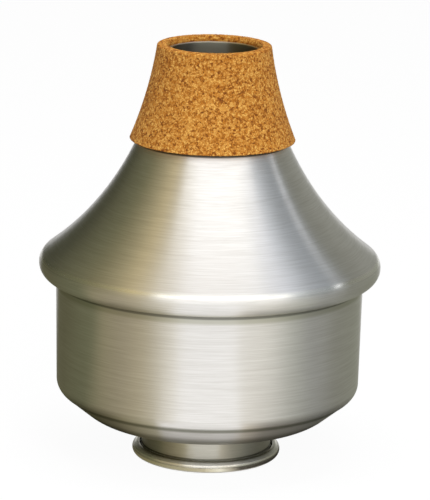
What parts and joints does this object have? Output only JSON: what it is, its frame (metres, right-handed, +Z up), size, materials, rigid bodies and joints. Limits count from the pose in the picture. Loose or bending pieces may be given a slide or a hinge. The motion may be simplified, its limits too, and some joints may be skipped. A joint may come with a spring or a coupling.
{
  "type": "trumpet wah-wah mute",
  "caption": "Trumpet wah-wah mute: spun aluminium body with a rolled bead, tapered cork collar, and a tube stem with a rolled-rim cup that slides and turns in the underside.",
  "frame": {"origin": "centre of the stem cup's rim, on the surface that the mute stands on", "axes": "+Z up along the mute's axis, from the stem cup's rim towards the cork; X and Y lie anywhere round it, as the mute is a body of revolution"},
  "size_m": [0.105, 0.105, 0.1292],
  "materials": {
    "spun_aluminium": "satin, spun and brushed round the axis",
    "stem_aluminium": "satin, spun",
    "turned_aluminium": "turned",
    "cork": "agglomerated cork, ground smooth",
    "rubber": "matt"
  },
  "bodies": {
    "stem": {"stem_tube": "stem_aluminium", "stem_cup": "stem_aluminium"},
    "ring": {"friction_ring": "rubber"},
    "mute_body": {"upper_shell": "spun_aluminium", "lower_shell": "spun_aluminium", "cork_collar": "cork", "stem_socket": "turned_aluminium"}
  },
  "joints": [
    {"name": "stem_slide", "type": "slide", "parent": "stem", "child": "ring", "axis": [0, 0, 1], "range_m": [0, 0.09]},
    {"name": "stem_turn", "type": "hinge", "parent": "ring", "child": "mute_body", "pos_m": [0, 0, 0.0242], "axis": [0, 0, 1], "continuous": true}
  ]
}
